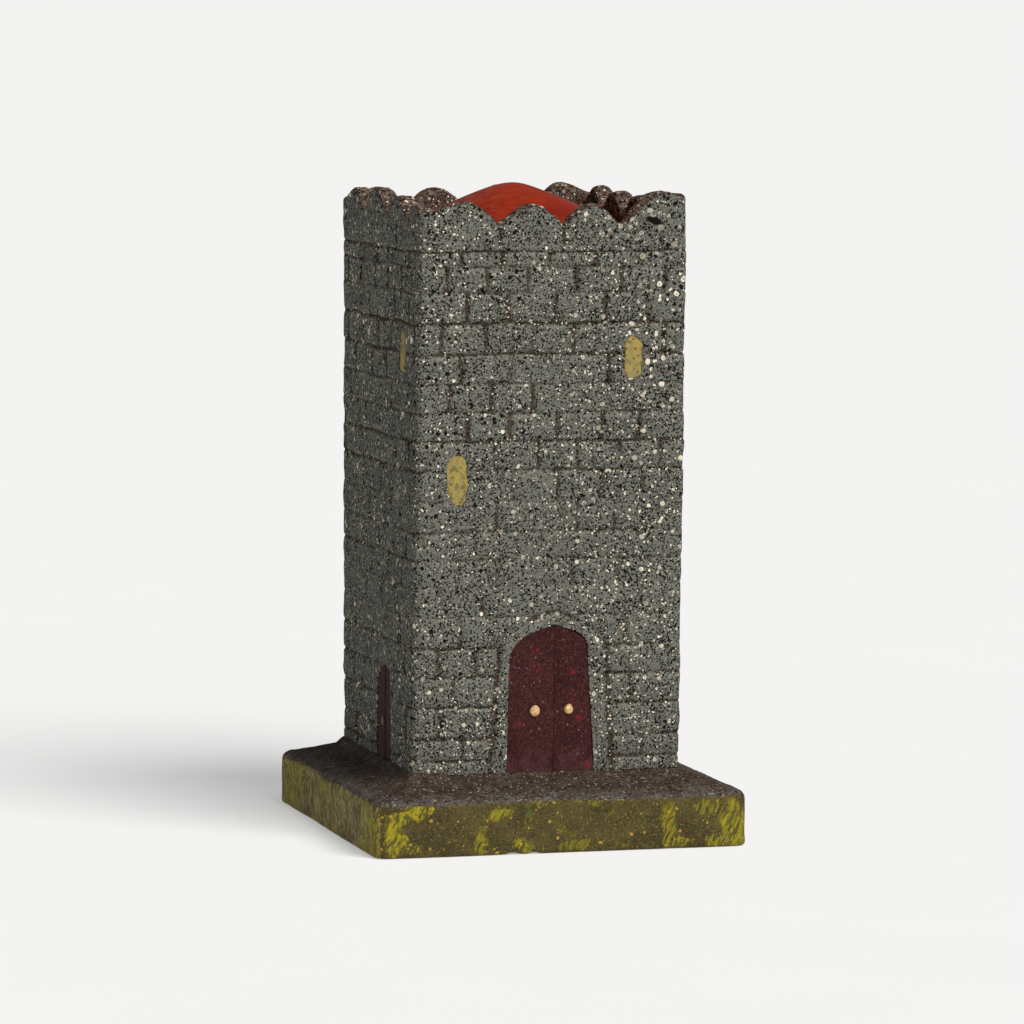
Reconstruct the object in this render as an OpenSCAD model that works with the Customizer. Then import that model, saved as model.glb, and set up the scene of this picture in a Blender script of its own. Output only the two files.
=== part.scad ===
// Miniature castle tower on a square plinth. A hollow cast tower with moulded brickwork and a
// notched parapet stands over a spigot on the plinth. A deck inside the parapet carries a low
// dome, and the doors, their knobs and the slit windows are inlaid in pockets.
// The origin is the middle of the underside. The front door faces -Y, the side door faces -X.

/* [Plinth] */
// Width of the plinth, left to right
plinth_w = 55.6; // [48:0.1:70]
// Depth of the plinth, front to back
plinth_d = 58; // [48:0.1:70]
// Height of the plinth's upright sides
plinth_side_h = 8.1; // [6:0.1:12]
// Height that the sloping top gains between its edge and the tower's foot
plinth_rise = 2.1; // [0.5:0.1:4]
// Radius of the plinth's four upright corners
plinth_corner_r = 1.2; // [0.5:0.1:4]

/* [Tower] */
// Width of the tower, the same on all four faces
tower_w = 40.4; // [38:0.2:44]
// Height of the tower's walls, from the plinth up to the lowest parapet notch
wall_h = 79.1; // [78:0.1:90]
// Radius of the tower's upright corners
tower_corner_r = 1; // [0.5:0.1:3]
// Thickness of the tower's walls below the roof
wall_t = 4.1; // [3:0.1:6]
// Thickness of the parapet
parapet_t = 3; // [2:0.1:4]
// Width of the moulded joints between the bricks
joint_w = 0.4; // [0.3:0.05:0.8]
// Depth of the moulded joints
joint_depth = 0.25; // [0.1:0.05:0.5]

/* [Roof] */
// Distance from the lowest parapet notch down to the deck's upper face
deck_drop = 1.3; // [0.5:0.1:3]
// Thickness of the deck
deck_t = 1.5; // [1:0.1:3]
// Height of the dome above the deck
dome_h = 7; // [4:0.1:10]
// Radius of the dome at its rim
dome_r = 16.3; // [12:0.1:16.6]
// Thickness of the dome's upright rim
dome_rim_h = 0.5; // [0.3:0.1:1]

/* [Doors] */
// Half of the front door's width where its arch springs
front_door_half_w = 6; // [4:0.1:8]
// Height at which the front door's arch springs, above the tower's foot
front_door_spring = 16.9; // [10:0.1:20]
// Distance of the front door's centre from the tower's centre line
front_door_offset = 0.6; // [-2:0.1:2]
// Half of the side door's width where its arch springs
side_door_half_w = 3.7; // [3:0.1:6]
// Height at which the side door's arch springs, above the tower's foot
side_door_spring = 11.8; // [6:0.1:16]
// Distance of the side door's centre from the tower's centre line, towards the front
side_door_offset = 4; // [0:0.1:5]
// Thickness of a door leaf
leaf_t = 0.9; // [0.6:0.1:1.2]
// Distance of the leaves' faces behind the wall's face
leaf_setback = 0.2; // [0.1:0.05:1]
// Radius of a knob's head on the front door
front_knob_r = 0.75; // [0.5:0.05:1]
// Radius of the knob's head on the side door
side_knob_r = 0.6; // [0.4:0.05:0.8]

/* [Windows] */
// Width of an upper window
upper_window_w = 2.9; // [2:0.1:4]
// Height of an upper window
upper_window_h = 6.2; // [4:0.1:8]
// Width of the lower window
lower_window_w = 3.3; // [2:0.1:4]
// Height of the lower window
lower_window_h = 7.4; // [4:0.1:9]
// Thickness of a window pane
pane_t = 0.8; // [0.5:0.1:1.2]
// Distance of the panes' faces behind the wall's face
pane_setback = 0.2; // [0.1:0.05:0.5]

/* [Hidden] */
$fn = 48;

foot_z = plinth_side_h + plinth_rise;
notch_z = foot_z + wall_h;
deck_z = notch_z - deck_drop;
ledge_z = deck_z - deck_t;
half_w = tower_w / 2;
seat_gap = 0.15;
inlay_gap = 0.1;
spigot_h = 5;
beyond = 1;
dome_spigot_r = 4;
dome_spigot_h = 1.2;
dome_slope = 0.47;
dome_crest_r = 1.8;
knob_shank_r = 0.3;
surround_w = 2.4;
leaf_gap = 0.3;

// The doors' arches, as shares of half their width: how far each jamb leans out at the foot, the
// radius of the shoulders, and the height of the crown above the springing.
arch_splay = 0.115;
arch_shoulder = 0.68;
arch_rise = 0.83;

// Heights of the bed joints above the foot, from the bottom course up.
bed_joints = [2.3, 5.4, 10, 14.5, 18.7, 23.1, 27.5, 31.4, 35.3, 39.8,
              44.2, 48.4, 52.5, 56.7, 60.9, 65.3, 69.7, 73.4, 75.6];

top_bed = bed_joints[len(bed_joints) - 1];

// Upright joints of each course as distances from the face's centre line, left to right,
// one row for each course between two bed joints, from the bottom course up.
front_courses = [
    [-12.5, 14.1], [-16.1, 16], [-14.3, 12.4], [-16.4, -11.2, 14.4], [-13.2, 11.4, 16.9],
    [-16.4, -10.1, 13.8], [-13.7, -7.8, -2.6, 3.5, 10.2, 16.9], [-11.4, -5, 6.9, 13.3],
    [-13.8, -8.2, 3.9, 9.7, 16.4], [-5.6, 1, 7.5, 13.9], [-8.4, -2, 4.1, 10.5, 16.6],
    [-12.6, -6.2, 0.7, 7.5, 13.3], [-15.6, -9.2, -2.9, 16], [-13.8, -6.4, 0, 8.6],
    [-16.7, -10.2, -3.2, 3, 6.4, 16.7], [-13.1, -7, 0.1, 7.7, 14.1],
    [-16.2, -10.1, -4, 3.5, 10.3, 16.7], [-13.9, -7.7, -0.8, 6.3, 13.3]];
side_courses = [
    [-12, 14], [-16, 16.5], [-13, 12.5], [-16, 9.5, 15.5], [-12.5, 12], [-15.5, -6, 2.5, 9, 16],
    [-12, -3, 5.5, 13], [-16, -8, 0.5, 8.5, 15.5], [-12.5, -4.5, 4, 12], [-16, -8.5, 1, 8, 15],
    [-18, 9.2, 15.8], [-18.6, -10.5, 12.6], [-15.2, 6.7, 16], [-19.2, -12.2, -3.8, 3.6],
    [-16.6, -8.6, -0.4, 6.1, 17.9], [-13.1, -5.2, 7.6, 15.1],
    [-16.9, -9.9, -2.5, 4.2, 11.2], [-8.6, -1.2, 5.8, 14.5]];

// Short joints that run down from the front parapet's notches, as distances from the centre
// line. They start and end at these heights above the top bed joint.
parapet_joints = [-8.2, 1.4, 16.1];
parapet_joint_span = [0.6, 3.3];

// The parapet's crest on each face, as distance from the centre line and height above the
// lowest notch. Corners and notches alternate with the rounded tips of the merlons.
front_crest = [[-half_w, 1.3], [-13.5, 3.8], [-8.1, 0.3], [-3.2, 3.4], [1.5, 0.2],
               [5.7, 3.4], [10.2, 0], [17.4, 5.1], [half_w, 3.2]];
side_crest = [[-half_w, 1.7], [-14.5, 4.5], [-9.3, 1.3], [-3.5, 4.9], [2.4, 1.5],
              [7.8, 4.2], [12.8, 0.9], [16.9, 3.3], [half_w, 1.3]];
right_crest = [[-half_w, 3.2], [-14.2, 4.3], [-9.2, 1.1], [-4.2, 4], [0.5, 0.7],
               [5.5, 4.2], [10.7, 0.9], [15.5, 4.7], [half_w, 2.2]];
back_crest = [[-half_w, 2.2], [-13.7, 5], [-9, 0.9], [-4, 4.7], [1, 0.7],
              [6.2, 4.3], [11, 1], [15.8, 4.4], [half_w, 1.7]];

// Centres of the windows: distance from the face's centre line, and height above the foot.
front_upper_at = [12.2, 60.3];
front_lower_at = [-14.1, 42.9];
side_window_at = [12, 61.1];
back_window_at = [-9, 56];
right_window_at = [4, 47];

// Places of the knobs: distance from the door's centre line, and height above the foot.
front_knob_at = [2.5, 9.3];
side_knob_at = [1, 6.2];

// ---------- shared shapes ----------

// A square with rounded corners, as a flat outline.
module rounded_square(width, depth, r) {
    square([width - 2 * r, depth], center = true);
    square([width, depth - 2 * r], center = true);
    for (x = [-1, 1], y = [-1, 1])
        translate([x * (width / 2 - r), y * (depth / 2 - r)]) circle(r);
}

// A low pointed arch: jambs that lean out towards the foot, round shoulders, and straight
// flanks that meet at the crown.
module arch(half_w, spring) {
    foot_half_w = half_w * (1 + arch_splay);
    shoulder_r = half_w * arch_shoulder;
    shoulder_x = half_w - shoulder_r;
    rise = half_w * arch_rise;
    to_shoulder = norm([shoulder_x, rise]);
    flank = sqrt(pow(to_shoulder, 2) - pow(shoulder_r, 2));
    fall = atan2(rise, shoulder_x) - asin(shoulder_r / to_shoulder);
    touch = [flank * cos(fall), spring + rise - flank * sin(fall)];
    polygon([[-foot_half_w, 0], [foot_half_w, 0], [half_w, spring], touch, [0, spring + rise],
             [-touch[0], touch[1]], [-half_w, spring]]);
    for (side = [-1, 1])
        translate([side * shoulder_x, spring]) circle(shoulder_r);
}

// A slit with a round head and a nearly square sill, centred on the origin.
module slit(width, height) {
    head_r = width / 2;
    sill_r = width / 5;
    translate([0, height / 2 - head_r]) circle(head_r);
    translate([-head_r, sill_r - height / 2]) square([width, height - head_r - sill_r]);
    translate([sill_r - head_r, -height / 2]) square([width - 2 * sill_r, height / 2]);
    for (side = [-1, 1])
        translate([side * (head_r - sill_r), sill_r - height / 2]) circle(sill_r);
}

// Stands a flat outline up on the tower's face that is turned by angle from the front:
// its back lies depth behind the face, and it is thick from there outwards.
module on_face(angle, depth, thick) {
    rotate([0, 0, angle])
        translate([0, depth - half_w, foot_z])
            rotate([90, 0, 0])
                linear_extrude(thick) children();
}

front = 0;
side = -90;
back = 180;
right = 90;

// ---------- plinth ----------

// The plinth's section across its width or depth, standing on the underside.
module plinth_section(width) {
    edge = width / 2;
    polygon([[-edge, 0], [edge, 0], [edge, plinth_side_h], [half_w, foot_z],
             [-half_w, foot_z], [-edge, plinth_side_h]]);
}

module plinth() color([0.36, 0.32, 0.18]) {
    intersection() {
        linear_extrude(foot_z) rounded_square(plinth_w, plinth_d, plinth_corner_r);
        rotate([90, 0, 0]) linear_extrude(plinth_d, center = true) plinth_section(plinth_w);
        rotate([90, 0, 90]) linear_extrude(plinth_w, center = true) plinth_section(plinth_d);
    }
    spigot_w = tower_w - 2 * wall_t - 2 * seat_gap;
    translate([-spigot_w / 2, -spigot_w / 2, foot_z - beyond])
        cube([spigot_w, spigot_w, spigot_h + beyond]);
}

// ---------- tower ----------

// Height of the crest between two of its points: a quarter of a sine wave up or down.
function crest_between(low, high, share) = low + (high - low) * sin(90 * share);

// The crest's points from one end to the other, four steps to each rise or fall.
function crest_points(crest) = [
    for (i = [0 : len(crest) - 2], s = [0 : 3])
        let (a = crest[i], b = crest[i + 1], t = s / 4, rising = b[1] > a[1])
        [a[0] + (b[0] - a[0]) * t,
         rising ? crest_between(a[1], b[1], t) : crest_between(b[1], a[1], 1 - t)],
    crest[len(crest) - 1]];

// One face's share of the parapet, above the lowest notch.
module parapet_wall(angle, crest)
    on_face(angle, parapet_t, parapet_t)
        translate([0, wall_h])
            polygon([[-half_w, -beyond], each crest_points(crest), [half_w, -beyond]]);

module parapet() intersection() {
    union() {
        parapet_wall(front, front_crest);
        parapet_wall(side, side_crest);
        parapet_wall(right, right_crest);
        parapet_wall(back, back_crest);
    }
    translate([0, 0, foot_z])
        linear_extrude(2 * wall_h) rounded_square(tower_w, tower_w, tower_corner_r);
}

// Bed joints run round the tower, but not across the raised surrounds of the doors.
module bed_joint_cut() difference() {
    for (h = bed_joints)
        translate([0, 0, foot_z + h - joint_w / 2]) linear_extrude(joint_w) difference() {
            square(tower_w + 2 * beyond, center = true);
            rounded_square(tower_w - 2 * joint_depth, tower_w - 2 * joint_depth,
                           tower_corner_r);
        }
    door_surrounds();
}

// Upright joints of one face, from bed joint to bed joint.
module upright_joint_cut(angle, courses, flip = 1)
    on_face(angle, joint_depth, joint_depth + beyond)
        for (i = [0 : len(courses) - 1], x = courses[i])
            translate([flip * x - joint_w / 2, bed_joints[i]])
                square([joint_w, bed_joints[i + 1] - bed_joints[i]]);

// The short joints below the notches of the front parapet.
module parapet_joint_cut()
    on_face(front, joint_depth, joint_depth + beyond)
        for (x = parapet_joints)
            translate([x - joint_w / 2, top_bed + parapet_joint_span[0]])
                square([joint_w, parapet_joint_span[1] - parapet_joint_span[0]]);

// The joint that outlines the front door's surround.
module surround_joint_cut()
    on_face(front, joint_depth, joint_depth + beyond)
        translate([front_door_offset, 0]) difference() {
            arch(front_door_half_w + surround_w, front_door_spring);
            translate([0, -beyond])
                arch(front_door_half_w + surround_w - joint_w, front_door_spring + beyond);
        }

// The plain bands round the two doors.
module door_surrounds() {
    on_face(front, half_w / 2, half_w)
        translate([front_door_offset, -beyond])
            arch(front_door_half_w + surround_w, front_door_spring + beyond);
    on_face(side, half_w / 2, half_w)
        translate([side_door_offset, -beyond])
            arch(side_door_half_w + surround_w / 2, side_door_spring + beyond);
}

// The recess of a door, cut through the wall's face as deep as the leaves need.
module door_recess(angle, offset, half_w, spring)
    on_face(angle, leaf_setback + leaf_t, leaf_setback + leaf_t + beyond)
        translate([offset, 0]) arch(half_w, spring);

module window_pocket(angle, at, width, height)
    on_face(angle, pane_setback + pane_t, pane_setback + pane_t + beyond)
        translate(at) slit(width, height);

module tower() color([0.42, 0.40, 0.37]) {
    difference() {
        union() {
            translate([0, 0, foot_z])
                linear_extrude(wall_h) rounded_square(tower_w, tower_w, tower_corner_r);
            parapet();
        }
        inner_w = tower_w - 2 * wall_t;
        translate([-inner_w / 2, -inner_w / 2, foot_z - beyond])
            cube([inner_w, inner_w, wall_h]);
        roof_w = tower_w - 2 * parapet_t;
        translate([-roof_w / 2, -roof_w / 2, ledge_z])
            cube([roof_w, roof_w, wall_h]);
        bed_joint_cut();
        upright_joint_cut(front, front_courses);
        upright_joint_cut(side, side_courses);
        upright_joint_cut(back, front_courses, -1);
        upright_joint_cut(right, side_courses, -1);
        parapet_joint_cut();
        surround_joint_cut();
        door_recess(front, front_door_offset, front_door_half_w, front_door_spring);
        door_recess(side, side_door_offset, side_door_half_w, side_door_spring);
        window_pocket(front, front_upper_at, upper_window_w, upper_window_h);
        window_pocket(front, front_lower_at, lower_window_w, lower_window_h);
        window_pocket(side, side_window_at, upper_window_w, upper_window_h);
        window_pocket(back, back_window_at, upper_window_w, upper_window_h);
        window_pocket(right, right_window_at, upper_window_w, upper_window_h);
    }
}

// ---------- roof ----------

module roof_deck() color([0.30, 0.22, 0.18]) {
    deck_w = tower_w - 2 * parapet_t - 2 * seat_gap;
    translate([0, 0, ledge_z]) difference() {
        translate([-deck_w / 2, -deck_w / 2, 0]) cube([deck_w, deck_w, deck_t]);
        translate([0, 0, -beyond]) cylinder(r = dome_spigot_r + inlay_gap, h = deck_t + 2 * beyond);
    }
}

// The dome's height at a distance from its axis: straight flanks under a rounded crest.
function dome_height(r) =
    let (flank = function (d) sqrt(pow(dome_crest_r, 2) + pow(dome_slope * d, 2)),
         fall = flank(dome_r) - flank(0))
    dome_h - (dome_h - dome_rim_h) * (flank(r) - flank(0)) / fall;

module roof_dome() color([0.72, 0.16, 0.07]) translate([0, 0, deck_z]) {
    steps = 12;
    rotate_extrude($fn = 96)
        polygon([[0, 0], [dome_r, 0],
                 for (i = [0 : steps]) [dome_r * (1 - i / steps), dome_height(dome_r * (1 - i / steps))]]);
    translate([0, 0, -dome_spigot_h]) cylinder(r = dome_spigot_r, h = dome_spigot_h + dome_rim_h);
}

// ---------- doors ----------

// One leaf of a door: half of the arch. hand is -1 for the left leaf and 1 for the right one.
// A leaf that has a knob is given its place, and gets a hole for its shank.
module door_leaf(angle, offset, half_w, spring, hand, knob_at = undef)
    color([0.27, 0.10, 0.09])
        on_face(angle, leaf_setback + leaf_t, leaf_t)
            translate([offset, 0]) difference() {
                intersection() {
                    arch(half_w - inlay_gap, spring);
                    translate([hand * (half_w + leaf_gap / 2), spring])
                        square([2 * half_w, 4 * spring], center = true);
                }
                if (knob_at != undef)
                    translate([hand * knob_at[0], knob_at[1]])
                        circle(knob_shank_r + inlay_gap / 2);
            }

// A knob: a low round head on the leaf's face, and a shank that fills the leaf's thickness.
module door_knob(angle, offset, hand, knob_at, knob_r)
    color([0.80, 0.62, 0.35])
        rotate([0, 0, angle])
            translate([offset + hand * knob_at[0], leaf_setback - half_w, foot_z + knob_at[1]])
                rotate([90, 0, 0]) {
                    intersection() {
                        sphere(knob_r);
                        cylinder(r = knob_r, h = knob_r);
                    }
                    translate([0, 0, -leaf_t]) cylinder(r = knob_shank_r, h = leaf_t + knob_r / 2);
                }

module front_door_left_leaf()
    door_leaf(front, front_door_offset, front_door_half_w, front_door_spring, -1, front_knob_at);
module front_door_right_leaf()
    door_leaf(front, front_door_offset, front_door_half_w, front_door_spring, 1, front_knob_at);
module front_door_left_knob()
    door_knob(front, front_door_offset, -1, front_knob_at, front_knob_r);
module front_door_right_knob()
    door_knob(front, front_door_offset, 1, front_knob_at, front_knob_r);
module side_door_left_leaf()
    door_leaf(side, side_door_offset, side_door_half_w, side_door_spring, -1, side_knob_at);
module side_door_right_leaf()
    door_leaf(side, side_door_offset, side_door_half_w, side_door_spring, 1);
module side_door_knob()
    door_knob(side, side_door_offset, -1, side_knob_at, side_knob_r);

// ---------- windows ----------

module window_pane(angle, at, width, height)
    color([0.66, 0.56, 0.27])
        on_face(angle, pane_setback + pane_t, pane_t)
            translate(at) slit(width - 2 * inlay_gap, height - 2 * inlay_gap);

module front_upper_window() window_pane(front, front_upper_at, upper_window_w, upper_window_h);
module front_lower_window() window_pane(front, front_lower_at, lower_window_w, lower_window_h);
module side_window() window_pane(side, side_window_at, upper_window_w, upper_window_h);
module back_window() window_pane(back, back_window_at, upper_window_w, upper_window_h);
module right_window() window_pane(right, right_window_at, upper_window_w, upper_window_h);

plinth();
tower();
roof_deck();
roof_dome();
front_door_left_leaf();
front_door_right_leaf();
front_door_left_knob();
front_door_right_knob();
side_door_left_leaf();
side_door_right_leaf();
side_door_knob();
front_upper_window();
front_lower_window();
side_window();
back_window();
right_window();
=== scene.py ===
"""Miniature castle tower: the looks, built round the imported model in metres."""

import math

import bmesh
import bpy
import numpy as np
from mathutils import Matrix, Vector
from mathutils.bvhtree import BVHTree


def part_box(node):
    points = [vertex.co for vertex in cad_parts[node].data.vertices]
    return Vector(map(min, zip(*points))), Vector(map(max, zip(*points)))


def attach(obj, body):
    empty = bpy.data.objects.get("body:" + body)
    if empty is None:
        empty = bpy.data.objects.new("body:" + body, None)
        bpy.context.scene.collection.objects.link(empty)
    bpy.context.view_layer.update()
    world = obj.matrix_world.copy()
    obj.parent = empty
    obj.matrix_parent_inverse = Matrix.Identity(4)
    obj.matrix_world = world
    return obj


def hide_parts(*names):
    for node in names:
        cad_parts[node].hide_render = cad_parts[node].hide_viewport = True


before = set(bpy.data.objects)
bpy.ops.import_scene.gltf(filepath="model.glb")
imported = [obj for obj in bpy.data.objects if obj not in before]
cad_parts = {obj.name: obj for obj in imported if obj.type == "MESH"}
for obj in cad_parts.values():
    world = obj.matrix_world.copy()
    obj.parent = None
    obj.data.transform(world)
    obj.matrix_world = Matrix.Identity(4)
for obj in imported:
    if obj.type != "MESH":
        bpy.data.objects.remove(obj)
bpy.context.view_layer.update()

MM = 0.001
SCENE = bpy.context.scene

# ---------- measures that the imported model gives, in millimetres ----------


def box_mm(node):
    """Lowest and highest corner of a CAD node, in millimetres."""
    low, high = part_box(node)
    return np.array(low) / MM, np.array(high) / MM


TOWER_LOW, TOWER_HIGH = box_mm("tower")
HALF = TOWER_HIGH[0]   # half of the tower's width
FOOT = TOWER_LOW[2]    # height of the tower's foot
PLINTH_HIGH = box_mm("plinth")[1]
DECK_TOP = box_mm("roof_deck")[1][2]
CORNER_R = 1.0         # radius of the tower's upright corners, as in the CAD
PARAPET_T = 3.0        # thickness of the parapet, as in the CAD

# ---------- smooth noise for the hand-made irregularities ----------


class Waves:
    """Smooth random field: a seeded sum of sine waves of about one wavelength, from -1 to 1."""

    def __init__(self, seed, wavelength):
        count = 14
        rng = np.random.default_rng(seed)
        direction = rng.normal(size=(count, 3))
        direction /= np.linalg.norm(direction, axis=1)[:, None]
        pitch = wavelength * rng.uniform(0.7, 1.6, count)
        self.k = direction * (2 * math.pi / pitch)[:, None]
        self.phase = rng.uniform(0, 2 * math.pi, count)

    def __call__(self, points):
        total = np.sin(np.asarray(points, float) @ self.k.T + self.phase).sum(-1)
        return total / math.sqrt(len(self.phase) * 2)


def smoothstep(low, high, x):
    """0 below low, 1 above high, and smooth between them."""
    t = np.clip((x - low) / (high - low), 0, 1)
    return t * t * (3 - 2 * t)


def blur(image, sigma):
    """Gaussian blur of rows and columns; sigma is in cells. Columns run round the tower."""
    reach = max(1, int(3 * sigma))
    weights = np.exp(-0.5 * (np.arange(-reach, reach + 1) / sigma) ** 2)
    weights /= weights.sum()
    padded = np.pad(image, ((0, 0), (reach, reach)), mode="wrap")
    image = sum(w * padded[:, i:i + image.shape[1]] for i, w in enumerate(weights))
    padded = np.pad(image, ((reach, reach), (0, 0)), mode="edge")
    return sum(w * padded[i:i + image.shape[0]] for i, w in enumerate(weights))


# ---------- mesh helpers ----------


def piece_from(name, points_mm, faces, smooth=True):
    """A mesh object from points in millimetres."""
    mesh = bpy.data.meshes.new(name)
    mesh.from_pydata((np.asarray(points_mm) * MM).tolist(), [], faces)
    mesh.update()
    obj = bpy.data.objects.new(name, mesh)
    SCENE.collection.objects.link(obj)
    mesh.polygons.foreach_set("use_smooth", [smooth] * len(mesh.polygons))
    return obj


def loop_faces(rows, columns, closed=True):
    """Quads of a grid whose rows are rings of points, counter-clockwise seen from above."""
    count = columns if closed else columns - 1
    i, j = np.meshgrid(np.arange(rows - 1), np.arange(count), indexing="ij")
    a, b = i * columns + j, i * columns + (j + 1) % columns
    return np.stack([a, b, b + columns, a + columns], -1).reshape(-1, 4).tolist()


def closed_stack(name, rows):
    """A closed piece: rings of points stacked up, with a cap on the first and the last."""
    columns, last = len(rows[0]), (len(rows) - 1) * len(rows[0])
    faces = loop_faces(len(rows), columns)
    faces.append(list(range(columns))[::-1])
    faces.append([last + i for i in range(columns)])
    return piece_from(name, np.concatenate(rows), faces)


def lifted(plan, z):
    """Points of a plan at one height, or each at its own."""
    return np.column_stack([plan, np.broadcast_to(z, len(plan))])


def circle(radius, count):
    """Points of a plan evenly round a circle."""
    turn = np.arange(count) * 2 * math.pi / count
    return np.stack([radius * np.cos(turn), radius * np.sin(turn)], -1)


def set_attribute(obj, name, values):
    """Gives each point of a mesh a number that its paint can read."""
    layer = obj.data.attributes.new(name, "FLOAT", "POINT")
    layer.data.foreach_set("value", np.asarray(values, np.float32))


def fix_normals(obj):
    """Turns every face of a closed piece outwards."""
    mesh = bmesh.new()
    mesh.from_mesh(obj.data)
    bmesh.ops.recalc_face_normals(mesh, faces=mesh.faces)
    mesh.to_mesh(obj.data)
    mesh.free()
    return obj


# ---------- tower ----------

FRONT, RIGHT, BACK, LEFT = range(4)
FACE_NORMALS = [(0, -1), (1, 0), (0, 1), (-1, 0)]
CORNER_STEPS = 5
FINE, COARSE = 0.32, 0.5   # between columns, on the faces that the main view shows and hides
TOWER_PITCHES = (FINE, COARSE, COARSE, FINE)
RAY_SPREAD = (-0.12, 0.0, 0.12)   # sideways offsets of the rays that look for joints


def rounded_ring(half_x, half_y, radius, pitches):
    """Points round a rounded rectangle, counter-clockwise from the front left: position, outward
    normal, face number and distance along. Each face has its own pitch."""
    ring = []
    for face, (nx, ny) in enumerate(FACE_NORMALS):
        ax, ay = -ny, nx
        flat = (half_x if ax else half_y) - radius
        reach = half_y if ny else half_x
        for a in np.linspace(-flat, flat, int(round(2 * flat / pitches[face])) + 1):
            ring.append((ax * a + nx * reach, ay * a + ny * reach, nx, ny, face, a))
        for step in range(1, CORNER_STEPS):
            turn = math.pi / 2 * step / CORNER_STEPS
            out_x = nx * math.cos(turn) + ax * math.sin(turn)
            out_y = ny * math.cos(turn) + ay * math.sin(turn)
            ring.append((ax * flat + nx * (reach - radius) + out_x * radius,
                         ay * flat + ny * (reach - radius) + out_y * radius,
                         out_x, out_y, face, flat + radius * turn))
    return np.array(ring)


def tower_tree():
    """The CAD tower's surface, ready for rays."""
    graph = bpy.context.evaluated_depsgraph_get()
    return BVHTree.FromObject(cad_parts["tower"], graph)


def cad_relief(ring, heights):
    """Depth of the CAD tower's surface behind its plain face: the deepest of a few near rays."""
    tree = tower_tree()
    start_out, reach = 2.0, 5.0
    depth = np.zeros((len(heights), len(ring)))
    for column, (x, y, nx, ny, _face, _along) in enumerate(ring):
        direction = Vector((-nx, -ny, 0))
        for side in RAY_SPREAD:
            near_x, near_y = x + nx * start_out - ny * side, y + ny * start_out + nx * side
            for row, z in enumerate(heights):
                hit = tree.ray_cast(Vector((near_x, near_y, z)) * MM, direction, reach * MM)
                if hit[0] is not None:
                    depth[row, column] = max(depth[row, column], hit[3] / MM - start_out)
    return depth


def cad_crest(ring):
    """Height of the CAD parapet's crest above each point of the ring."""
    tree = tower_tree()
    inset, above = PARAPET_T / 2, 2 * TOWER_HIGH[2]
    crest = []
    for x, y, nx, ny, _face, _along in ring:
        origin = Vector((x - nx * inset, y - ny * inset, above)) * MM
        crest.append(tree.ray_cast(origin, Vector((0, 0, -1)))[0].z / MM)
    return np.array(crest)


JOINT_ROWS = (-0.55, -0.36, -0.2, 0, 0.2, 0.36, 0.55)   # heights across a bed joint
ROW_PITCH = 0.6                                         # between rows elsewhere


def row_heights(ring, low, high):
    """Heights of the rows: close together at the CAD tower's bed joints, wide between them."""
    probe_step, off_centre, every, deep = 0.1, 3, 9, 0.7
    probe = np.arange(low, high, probe_step)
    pick = ring[(np.abs(ring[:, 5]) > off_centre) & (ring[:, 4] == BACK)][::every]
    mean = cad_relief(pick, probe).mean(1)
    edges = np.flatnonzero(np.diff((mean > deep * mean.max()).astype(int)))
    joints = [probe[(a + b + 1) // 2] for a, b in zip(edges[::2], edges[1::2])]
    rows = {round(z + d, 3) for z in joints for d in JOINT_ROWS}
    reach = JOINT_ROWS[-1]
    marks = [low] + joints + [high]
    for a, b in zip(marks, marks[1:]):
        steps = max(2, int(round((b - a - 2 * reach) / ROW_PITCH)) + 1)
        rows.update(np.round(np.linspace(a + reach, b - reach, steps), 3))
    return np.array(sorted(rows))


JOINT_DEPTH = 0.3        # depth of the joints here, before they are softened
GROOVE = 0.25            # depth of the CAD tower's joints
BRICK_BULGE = 0.1        # how far the middle of a brick stands out
RIM_DROP = 0.7           # height over which the parapet's edge rounds over
INNER_R = 0.5            # radius of the parapet's inner corners
WALL_TOP = FOOT + 76.2   # the walls' level rows end here, and the parapet's rows begin


def relief_strength(points):
    """How clearly the brickwork stands out: clearest near the top and round the front door, worn
    in the lower middle."""
    x, y, z = points[..., 0], points[..., 1], points[..., 2]
    at_door = ((1 - smoothstep(10, 13, np.abs(x))) * (1 - smoothstep(FOOT + 25, FOOT + 29, z))
               * (y < 0))
    streaks_and_painted_light = 0.7 + 0.3 * smoothstep(44, 64, z) + 0.2 * (1 - smoothstep(22, 34, z))
    gaps = smoothstep(-1.2, 0.0, Waves(12, 3.5)(points) + 0.9 * smoothstep(50, 70, z))
    clear = streaks_and_painted_light * (0.5 + 0.5 * gaps) * np.clip(0.95 + 0.25 * Waves(11, 9)(points), 0.5, 1.2)
    return np.maximum(clear, 0.9 * at_door)


def inner_plan(ring):
    """Where each point of the outer ring lies on the parapet's inner face."""
    flat, inner_flat, straight = HALF - CORNER_R, HALF - PARAPET_T - INNER_R, 11.0
    plan = np.zeros((len(ring), 2))
    for i, (_x, _y, nx, ny, face, along) in enumerate(ring):
        fx, fy = FACE_NORMALS[int(face)]
        ax, ay = -fy, fx
        over = max(abs(along) - straight, 0)
        a = math.copysign(min(abs(along), straight)
                          + over * (inner_flat - straight) / (flat - straight), along)
        if along > flat:
            plan[i] = (np.array([ax, ay]) + (fx, fy)) * inner_flat + np.array([nx, ny]) * INNER_R
        else:
            plan[i] = np.array([ax, ay]) * a + np.array([fx, fy]) * (inner_flat + INNER_R)
    return plan


def cast_lumps(points):
    """Unevenness of the cast surface: a broad swell, small dents and a fine tooth."""
    return (0.06 * Waves(22, 14)(points) + 0.05 * Waves(21, 3.5)(points)
            + 0.02 * Waves(23, 1.3)(points))


def corner_share(ring):
    """1 along the upright corners, falling to 0 just beside them."""
    return np.clip(1 - (HALF - CORNER_R + 0.6 - np.abs(ring[:, 5])) / 0.8, 0, 1)


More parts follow.
